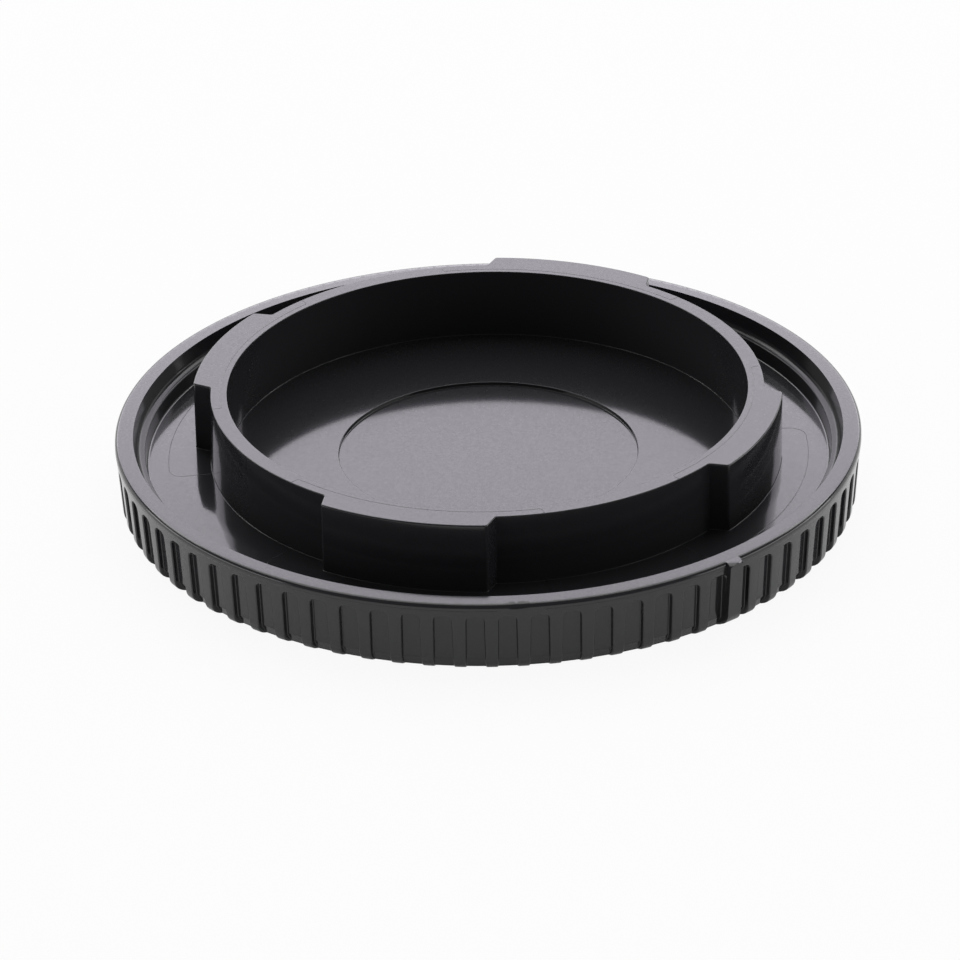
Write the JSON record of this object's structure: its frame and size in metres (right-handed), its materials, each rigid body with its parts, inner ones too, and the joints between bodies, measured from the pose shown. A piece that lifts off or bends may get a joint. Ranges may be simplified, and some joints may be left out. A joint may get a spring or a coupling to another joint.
{
  "type": "camera body cap",
  "caption": "Round camera body cap with a gripped rim and a raised inner bayonet ring that carries turning lugs.",
  "frame": {"origin": "middle of the front face, on the plane the cap lies on", "axes": "+Z from the front face towards the bayonet ring, -Y towards the viewer in the picture, +X to the right"},
  "size_m": [0.0594, 0.0594, 0.0094],
  "materials": {
    "body_cap": "black, satin gloss"
  },
  "bodies": {
    "root": {"body_cap": "body_cap"}
  },
  "joints": []
}
